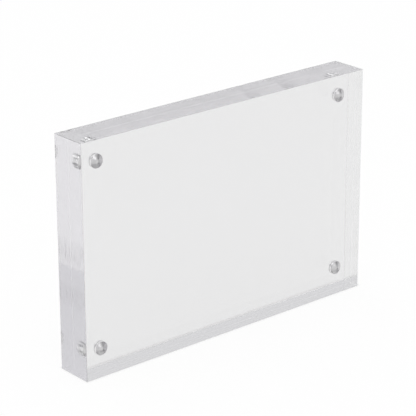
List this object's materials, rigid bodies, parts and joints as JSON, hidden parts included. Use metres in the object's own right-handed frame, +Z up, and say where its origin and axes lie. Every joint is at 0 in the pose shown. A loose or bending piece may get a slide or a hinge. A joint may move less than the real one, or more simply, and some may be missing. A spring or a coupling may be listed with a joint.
{
  "type": "acrylic block frame",
  "caption": "Clear acrylic block frame: two polished rectangular blocks held face to face by corner magnets, standing on a long edge to show a small print between them.",
  "frame": {"origin": "on the surface the frame stands on, under the middle of the frame, in the plane where the magnets meet", "axes": "+X along the long edge to the viewer's right, +Y from the front block to the back block, +Z up"},
  "size_m": [0.1524, 0.0172, 0.1016],
  "materials": {
    "clear_acrylic": "clear cast acrylic, polished on all faces and edges",
    "nickel_plating": "bright nickel plating on a pressed magnet"
  },
  "bodies": {
    "back": {"back_block": "clear_acrylic", "back_magnet_top_left": "nickel_plating", "back_magnet_top_right": "nickel_plating", "back_magnet_bottom_left": "nickel_plating", "back_magnet_bottom_right": "nickel_plating"},
    "front": {"front_block": "clear_acrylic", "front_magnet_top_left": "nickel_plating", "front_magnet_top_right": "nickel_plating", "front_magnet_bottom_left": "nickel_plating", "front_magnet_bottom_right": "nickel_plating"}
  },
  "joints": [
    {"name": "front_block_pull", "type": "slide", "parent": "back", "child": "front", "axis": [0, -1, 0], "range_m": [0, 0.04]}
  ]
}
